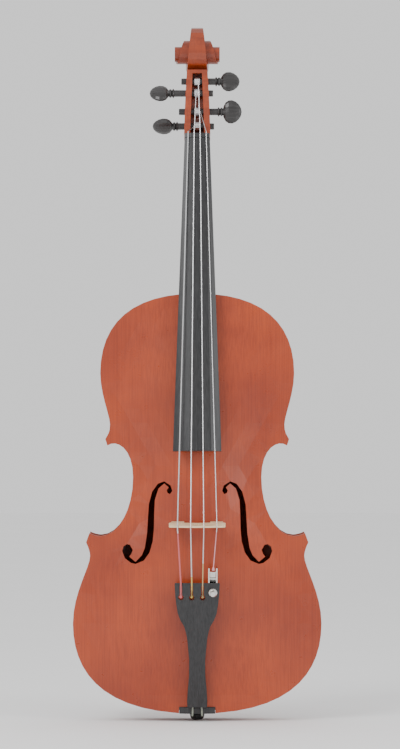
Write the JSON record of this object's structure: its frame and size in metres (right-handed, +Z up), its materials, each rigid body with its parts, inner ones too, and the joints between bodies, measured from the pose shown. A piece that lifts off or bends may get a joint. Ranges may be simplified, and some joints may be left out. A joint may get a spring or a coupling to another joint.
{
  "type": "viola",
  "caption": "Full-size viola with arched plates, f-holes, ribs, scrolled pegbox, turning pegs, fingerboard, bridge, tailpiece and a working fine tuner on the highest string",
  "frame": {"origin": "centre of the end button's flat end face", "axes": "+Z up the length to the scroll, -Y the front (top plate), +X the treble side; units metres"},
  "size_m": [0.2402, 0.1189, 0.673],
  "materials": {
    "back_plate": "orange-brown oil varnish over figured maple",
    "bass_bar": "bare unvarnished wood",
    "bridge": "bare maple",
    "corner_block_lower_bass": "bare unvarnished wood",
    "corner_block_lower_treble": "bare unvarnished wood",
    "corner_block_upper_bass": "bare unvarnished wood",
    "corner_block_upper_treble": "bare unvarnished wood",
    "end_block": "bare unvarnished wood",
    "end_button": "oiled ebony, satin",
    "fingerboard": "oiled ebony, satin",
    "lining_back_lower_bass": "bare unvarnished wood",
    "lining_back_lower_treble": "bare unvarnished wood",
    "lining_back_upper_bass": "bare unvarnished wood",
    "lining_back_upper_treble": "bare unvarnished wood",
    "lining_back_waist_bass": "bare unvarnished wood",
    "lining_back_waist_treble": "bare unvarnished wood",
    "lining_top_lower_bass": "bare unvarnished wood",
    "lining_top_lower_treble": "bare unvarnished wood",
    "lining_top_upper_bass": "bare unvarnished wood",
    "lining_top_upper_treble": "bare unvarnished wood",
    "lining_top_waist_bass": "bare unvarnished wood",
    "lining_top_waist_treble": "bare unvarnished wood",
    "neck_block": "bare unvarnished wood",
    "neck_scroll": "orange-brown oil varnish over figured maple",
    "nut": "oiled ebony, satin",
    "peg_a": "oiled ebony, satin",
    "peg_c": "oiled ebony, satin",
    "peg_d": "oiled ebony, satin",
    "peg_g": "oiled ebony, satin",
    "rib_lower_bass": "orange-brown oil varnish over figured maple",
    "rib_lower_treble": "orange-brown oil varnish over figured maple",
    "rib_upper_bass": "orange-brown oil varnish over figured maple",
    "rib_upper_treble": "orange-brown oil varnish over figured maple",
    "rib_waist_bass": "orange-brown oil varnish over figured maple",
    "rib_waist_treble": "orange-brown oil varnish over figured maple",
    "saddle": "oiled ebony, satin",
    "sound_post": "bare unvarnished wood",
    "string_a": "wound with bright wire",
    "string_c": "wound with bright wire",
    "string_d": "wound with bright wire",
    "string_g": "wound with bright wire",
    "string_winding_a": "wound with bright wire",
    "string_winding_c": "wound with bright wire",
    "string_winding_d": "wound with bright wire",
    "string_winding_g": "wound with bright wire",
    "tail_gut": "grey-green nylon cord",
    "tailpiece": "oiled ebony, satin",
    "top_plate": "orange-brown oil varnish over spruce",
    "tuner_bracket": "nickel plated",
    "tuner_collar_nut": "nickel plated",
    "tuner_lever": "nickel plated",
    "tuner_pivot_pin": "plain steel pin",
    "tuner_screw": "nickel plated"
  },
  "bodies": {
    "body": {"back_plate": "back_plate", "bass_bar": "bass_bar", "bridge": "bridge", "corner_block_lower_bass": "corner_block_lower_bass", "corner_block_lower_treble": "corner_block_lower_treble", "corner_block_upper_bass": "corner_block_upper_bass", "corner_block_upper_treble": "corner_block_upper_treble", "end_block": "end_block", "end_button": "end_button", "fingerboard": "fingerboard", "lining_back_lower_bass": "lining_back_lower_bass", "lining_back_lower_treble": "lining_back_lower_treble", "lining_back_upper_bass": "lining_back_upper_bass", "lining_back_upper_treble": "lining_back_upper_treble", "lining_back_waist_bass": "lining_back_waist_bass", "lining_back_waist_treble": "lining_back_waist_treble", "lining_top_lower_bass": "lining_top_lower_bass", "lining_top_lower_treble": "lining_top_lower_treble", "lining_top_upper_bass": "lining_top_upper_bass", "lining_top_upper_treble": "lining_top_upper_treble", "lining_top_waist_bass": "lining_top_waist_bass", "lining_top_waist_treble": "lining_top_waist_treble", "neck_block": "neck_block", "neck_scroll": "neck_scroll", "nut": "nut", "rib_lower_bass": "rib_lower_bass", "rib_lower_treble": "rib_lower_treble", "rib_upper_bass": "rib_upper_bass", "rib_upper_treble": "rib_upper_treble", "rib_waist_bass": "rib_waist_bass", "rib_waist_treble": "rib_waist_treble", "saddle": "saddle", "sound_post": "sound_post", "string_a": "string_a", "string_c": "string_c", "string_d": "string_d", "string_g": "string_g", "tail_gut": "tail_gut", "tailpiece": "tailpiece", "top_plate": "top_plate", "tuner_bracket": "tuner_bracket", "tuner_collar_nut": "tuner_collar_nut", "tuner_pivot_pin": "tuner_pivot_pin"},
    "peg_c_assembly": {"peg_c": "peg_c", "string_winding_c": "string_winding_c"},
    "peg_g_assembly": {"peg_g": "peg_g", "string_winding_g": "string_winding_g"},
    "peg_d_assembly": {"peg_d": "peg_d", "string_winding_d": "string_winding_d"},
    "peg_a_assembly": {"peg_a": "peg_a", "string_winding_a": "string_winding_a"},
    "screw": {"tuner_screw": "tuner_screw"},
    "lever": {"tuner_lever": "tuner_lever"}
  },
  "joints": [
    {"name": "peg_c_turn", "type": "hinge", "parent": "body", "child": "peg_c_assembly", "pos_m": [0, -0.00167, 0.57553], "axis": [1, 0, 0], "continuous": true},
    {"name": "peg_g_turn", "type": "hinge", "parent": "body", "child": "peg_g_assembly", "pos_m": [0, 0.00262, 0.60786], "axis": [1, 0, 0], "continuous": true},
    {"name": "peg_d_turn", "type": "hinge", "parent": "body", "child": "peg_d_assembly", "pos_m": [0, 0.00481, 0.6195], "axis": [1, 0, 0], "continuous": true},
    {"name": "peg_a_turn", "type": "hinge", "parent": "body", "child": "peg_a_assembly", "pos_m": [0, 0.00028, 0.58981], "axis": [1, 0, 0], "continuous": true},
    {"name": "tuner_screw_turn", "type": "hinge", "parent": "body", "child": "screw", "pos_m": [0.015, -0.05431, 0.126], "axis": [0, 0.9801, 0.1985], "range_deg": [0, 900]},
    {"name": "tuner_lever_swing", "type": "hinge", "parent": "body", "child": "lever", "pos_m": [0.015, -0.05308, 0.14512], "axis": [1, 0, 0], "range_deg": [0, 5]}
  ],
  "couplings": [
    {"joint": "tuner_lever_swing", "follows": "tuner_screw_turn", "ratio": 0.0055556}
  ]
}
